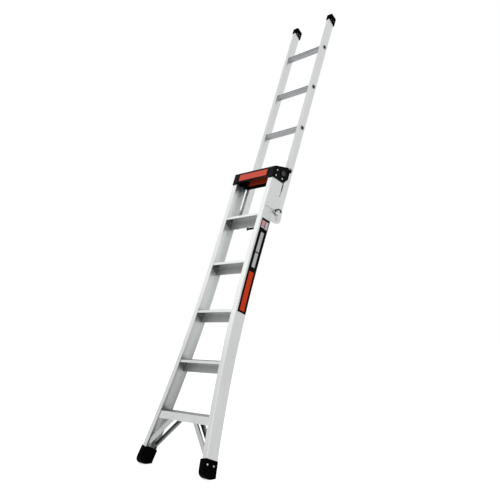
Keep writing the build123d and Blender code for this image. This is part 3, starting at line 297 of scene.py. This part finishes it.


# Finishes: dark and light tone, roughness, grain, strength of the relief, then painted shade and light or
# chalk, or gloss
rail_metal = metal("rail_metal", (0.55, 0.56, 0.56), (0.63, 0.64, 0.64), 0.36, ALONG, 0.12, rail_painted_shading)
rear_metal = metal("rear_metal", (0.61, 0.62, 0.62), (0.69, 0.70, 0.70), 0.36, ALONG, 0.12, chalk_front)
tread_metal = metal("tread_metal", (0.55, 0.56, 0.56), (0.62, 0.63, 0.63), 0.36, ACROSS, 0.12, tread_painted_shading)
rung_metal = metal("rung_metal", (0.27, 0.275, 0.28), (0.34, 0.345, 0.35), 0.38, ACROSS, 0.12)
plate_metal = metal("plate_metal", (0.58, 0.59, 0.59), (0.65, 0.66, 0.66), 0.40, even(420.0), 0.08)
brace_metal = metal("brace_metal", (0.42, 0.43, 0.43), (0.50, 0.51, 0.51), 0.40, even(420.0), 0.08)
# Darker zinc tone, on the foot rivets and, as painted shade, on the rear knee braces
zinc_and_painted_shade = metal("zinc_and_painted_shade", (0.19, 0.195, 0.20), (0.26, 0.265, 0.27), 0.46, even(300.0), 0.10)
steel = metal("steel", (0.50, 0.50, 0.49), (0.62, 0.62, 0.61), 0.30, even(500.0), 0.06)
black = moulded("black_plastic", even(0.0012), even(0.0035), 0.50, 900.0, 0.18, 0.05)
rubber = moulded("rubber", even(0.0004), even(0.0012), 0.78, 700.0, 0.25, 0.02)
grey = moulded("grey_plastic", even(0.045), even(0.065), 0.50, 800.0, 0.10, 0.2)
orange = moulded("orange_plastic", (0.62, 0.060, 0.030), (0.70, 0.078, 0.040), 0.46, 800.0, 0.10, 0.2)
liner = moulded("liner", (0.60, 0.060, 0.018), (0.70, 0.075, 0.026), 0.50, 800.0, 0.10, 0.15)
film = moulded("film", even(0.0010), even(0.0028), 0.34, 300.0, 0.03, 0.03)
ink_orange = moulded("ink_orange", (0.56, 0.034, 0.004), (0.64, 0.046, 0.008), 0.36, 300.0, 0.03, 0.1)
ink_grey = moulded("ink_grey", (0.47, 0.47, 0.48), (0.55, 0.55, 0.56), 0.36, 300.0, 0.03, 0.2)
ink_pale = moulded("ink_pale", (0.50, 0.46, 0.48), (0.57, 0.53, 0.55), 0.36, 300.0, 0.03, 0.2)
ink_red = moulded("ink_red", (0.64, 0.29, 0.31), (0.72, 0.34, 0.36), 0.36, 300.0, 0.03, 0.2)

# Material of each node by how its name begins, the first that fits; other fasteners are steel
LOOKS = {
    "front_rail": rail_metal,
    "rear_rail": rear_metal,
    "rung_": rung_metal,
    "step_rivets": steel,
    "step_": tread_metal,
    # rear knee braces: darker zinc tone as painted shade, for the shade under the bottom step
    "knee_brace_rear": zinc_and_painted_shade,
    "knee_brace": brace_metal,
    "hinge_plate": plate_metal,
    "boot_rivets": steel,
    "boot_": rubber,
    "rear_foot": rubber,
    "foot_rivets": zinc_and_painted_shade,
    "head_bracket": black,
    "pad_band": orange,
    "pad_liner": liner,
    "pad_pin": grey,
    "pad_": black,
    # The rest block's black stands in for the shade in the slit between the hinge plate and the rear rail:
    # painted shade
    "rest_block": black,
    "lock_pin": plate_metal,
    "lock_pull": black,
    "lock_guide": black,
    "pivot_spacers": black,
    "storage_catch": black,
    "catch_bracket": black,
    "side_strip": film,
}
for name, node in nodes.items():
    look = next((LOOKS[key] for key in LOOKS if name.startswith(key)), steel)
    node.data.materials.clear()
    node.data.materials.append(look)

# Plain colour blocks on the side strip
STRIP_TOP = TOP_STEP - 0.032
STRIP_FACE = 0.0010  # just clear of the strip's outer face, from the rail's
INK = 0.0002
BLOCK_ROW = 0.02  # length of one row of faces along the bend
FORE = (0.018, 0.043)  # depths of the blocks' edges
REAR = (0.048, 0.069)
CENTRE = (0.031, 0.055)
WIDE = (0.026, 0.060)


def block(name, look, start, end, depths):
    """Thin printed block, between two places below the strip's top and two depths."""
    rows = max(2, int((end - start) / BLOCK_ROW))
    verts = []
    for row in range(rows + 1):
        up = STRIP_TOP - end + (end - start) * row / rows
        for deep in depths:
            verts.append(place(flare(up) + STRIP_FACE, deep, up))
            verts.append(place(flare(up) + STRIP_FACE + INK, deep, up))
    last = 4 * rows
    faces = [(0, 2, 3, 1), (last, last + 1, last + 3, last + 2)]
    for a in range(0, last, 4):
        b = a + 4
        faces += [(a + 1, a + 3, b + 3, b + 1), (a, b, b + 2, a + 2)]
        faces += [(a, a + 1, b + 1, b), (a + 2, b + 2, b + 3, a + 3)]
    mesh = bpy.data.meshes.new(name)
    mesh.from_pydata(verts, [], faces)
    mesh.update()
    piece = bpy.data.objects.new(name, mesh)
    scene.collection.objects.link(piece)
    mesh.materials.append(look)
    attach(piece, "front_section")


block("strip_block_red", ink_red, 0.014, 0.046, FORE)
block("strip_block_pale", ink_pale, 0.014, 0.062, REAR)
block("strip_block_lilac", ink_pale, 0.048, 0.060, FORE)
block("strip_block_grey_1", ink_grey, 0.086, 0.209, CENTRE)
block("strip_block_grey_2", ink_grey, 0.217, 0.306, CENTRE)
block("strip_block_orange", ink_orange, 0.334, 0.572, WIDE)

# Floor, pale, white to the camera where it is lit
FLOOR_HALF = 30.0
FLOOR_GLOW = 0.62  # only to the camera and in reflections
floor_mesh = bpy.data.meshes.new("floor")
corners = [(-1, -1), (1, -1), (1, 1), (-1, 1)]
floor_mesh.from_pydata([(x * FLOOR_HALF, y * FLOOR_HALF, 0) for x, y in corners], [], [(0, 1, 2, 3)])
floor = bpy.data.objects.new("floor", floor_mesh)
scene.collection.objects.link(floor)
ground = Look("floor")
ground.shader.inputs["Base Color"].default_value = (0.80, 0.80, 0.80, 1)
ground.shader.inputs["Roughness"].default_value = 0.9
ground.shader.inputs["Specular IOR Level"].default_value = 0.0
ground.shader.inputs["Emission Color"].default_value = (1, 1, 1, 1)
rays = ground.add("ShaderNodeLightPath").outputs
seen = ground.math("MAXIMUM", rays["Is Camera Ray"], rays["Is Glossy Ray"])
ground.link(ground.math("MULTIPLY", seen, FLOOR_GLOW), ground.shader.inputs["Emission Strength"])
floor_mesh.materials.append(ground.material)

# World: white to the camera and in reflections, softer as light
WORLD_LIGHT = 0.65
world = bpy.data.worlds.new("studio")
scene.world = world
world.use_nodes = True
sky = Nodes(world.node_tree)
back = sky.tree.nodes["Background"]
back.inputs["Color"].default_value = (1, 1, 1, 1)
rays = sky.add("ShaderNodeLightPath").outputs
seen = sky.math("MAXIMUM", rays["Is Glossy Ray"], rays["Is Transmission Ray"])
seen = sky.math("MAXIMUM", rays["Is Camera Ray"], seen)
sky.link(sky.spread(seen, WORLD_LIGHT, 1.0, 0.0, 1.0), back.inputs["Strength"])

# Two soft studio lamps
LAMP_SIZE = 3.0
LAMP_AIM = Vector((0.0, 0.0, 1.3))


def lamp(name, spot, power):
    """Soft square light, aimed at the ladder."""
    light = bpy.data.lights.new(name, "AREA")
    light.shape = "SQUARE"
    light.size = LAMP_SIZE
    light.energy = power
    piece = bpy.data.objects.new(name, light)
    scene.collection.objects.link(piece)
    piece.location = spot
    piece.rotation_euler = (LAMP_AIM - Vector(spot)).to_track_quat("-Z", "Y").to_euler()


lamp("key", (-3.2, -3.6, 4.6), 34.0)
lamp("fill", (3.6, -3.0, 3.2), 44.0)

# Camera at the photograph's place, found by fitting the ladder's edges
CAMERA_SPOT = (3.37593, -2.96847, 0.76270)
CAMERA_TURN = (96.0276, -0.1727, 48.7416)  # degrees
CAMERA_LENS = 53.815  # millimetres
CAMERA_SENSOR = 36.0
view = bpy.data.cameras.new("camera")
view.sensor_width = CAMERA_SENSOR
view.lens = CAMERA_LENS
camera = bpy.data.objects.new("camera", view)
scene.collection.objects.link(camera)
camera.location = CAMERA_SPOT
camera.rotation_euler = [math.radians(angle) for angle in CAMERA_TURN]
scene.camera = camera

scene.view_settings.view_transform = "Standard"
